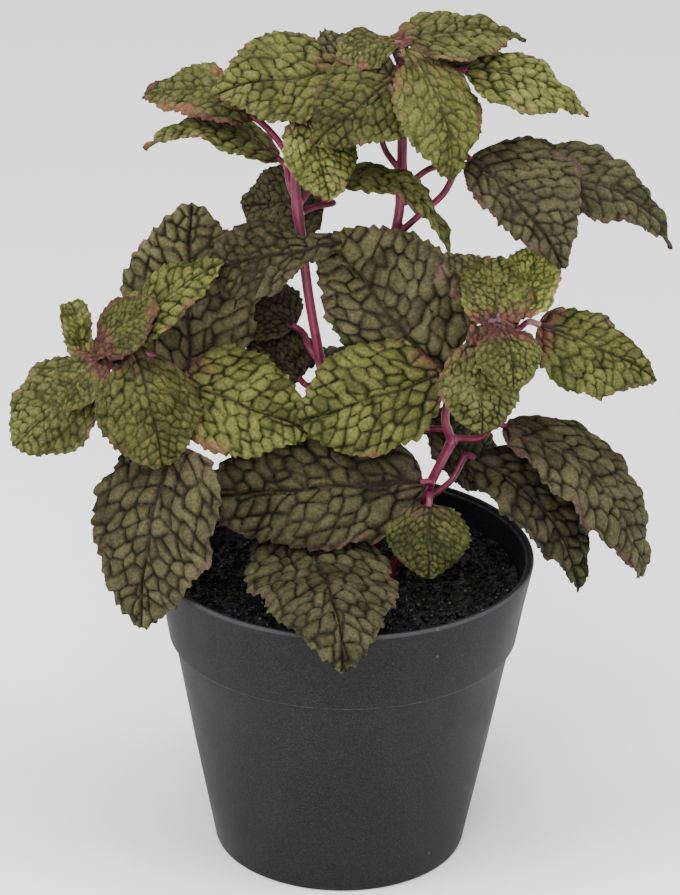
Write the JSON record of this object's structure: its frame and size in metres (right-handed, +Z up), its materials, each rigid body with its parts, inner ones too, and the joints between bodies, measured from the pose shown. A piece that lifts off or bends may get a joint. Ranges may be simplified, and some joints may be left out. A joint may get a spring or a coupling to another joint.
{
  "type": "potted mint plant",
  "caption": "Small round nursery pot with a mint plant: slim maroon stems and quilted, toothed green to dark olive leaves that arch outwards.",
  "frame": {"origin": "centre of the pot's underside, on the surface that the pot stands on", "axes": "+Z up along the pot's axis; -Y is the front, where the lowest leaf lies over the rim; +X to the right of that view"},
  "size_m": [0.1528, 0.0999, 0.2031],
  "materials": {
    "pot_plastic": "matte charcoal, fine grain, with a smoother lip",
    "soil": "near-black loose granules with small glints",
    "stem_plastic": "satin maroon, lighter towards the leaf stalks",
    "leaf_young": "yellow-green blisters in a net of dark veins, matte",
    "leaf_green": "olive-green blisters in a net of dark veins, reddish towards the stalk, matte",
    "leaf_old": "dark olive-brown blisters in a near-black net of veins, purplish at the edge, matte"
  },
  "bodies": {
    "root": {"pot": "pot_plastic", "soil": "soil", "stem_tall_left": "stem_plastic", "stem_tall_right": "stem_plastic", "stem_low_right": "stem_plastic", "stem_low_left": "stem_plastic", "leaf_tall_left_1": "leaf_green", "leaf_tall_left_2": "leaf_young", "leaf_tall_left_3": "leaf_young", "leaf_tall_left_4": "leaf_green", "leaf_tall_left_5": "leaf_old", "leaf_tall_left_6": "leaf_green", "leaf_tall_left_7": "leaf_old", "leaf_tall_left_8": "leaf_old", "leaf_tall_left_9": "leaf_old", "leaf_tall_left_10": "leaf_old", "leaf_tall_right_1": "leaf_green", "leaf_tall_right_2": "leaf_green", "leaf_tall_right_3": "leaf_young", "leaf_tall_right_4": "leaf_young", "leaf_tall_right_5": "leaf_young", "leaf_tall_right_6": "leaf_old", "leaf_tall_right_7": "leaf_old", "leaf_tall_right_8": "leaf_old", "leaf_tall_right_9": "leaf_green", "leaf_tall_right_10": "leaf_old", "leaf_low_right_1": "leaf_young", "leaf_low_right_2": "leaf_young", "leaf_low_right_3": "leaf_young", "leaf_low_right_4": "leaf_green", "leaf_low_right_5": "leaf_young", "leaf_low_right_6": "leaf_young", "leaf_low_right_7": "leaf_old", "leaf_low_right_8": "leaf_old", "leaf_low_right_9": "leaf_old", "leaf_low_right_10": "leaf_old", "leaf_low_right_11": "leaf_young", "leaf_low_right_12": "leaf_old", "leaf_low_right_13": "leaf_old", "leaf_low_left_1": "leaf_green", "leaf_low_left_2": "leaf_young", "leaf_low_left_3": "leaf_young", "leaf_low_left_4": "leaf_young", "leaf_low_left_5": "leaf_green", "leaf_low_left_6": "leaf_young", "leaf_low_left_7": "leaf_old", "leaf_low_left_8": "leaf_young", "leaf_low_left_9": "leaf_old", "leaf_low_left_10": "leaf_old", "leaf_low_left_11": "leaf_old", "leaf_low_left_12": "leaf_old"}
  },
  "joints": []
}
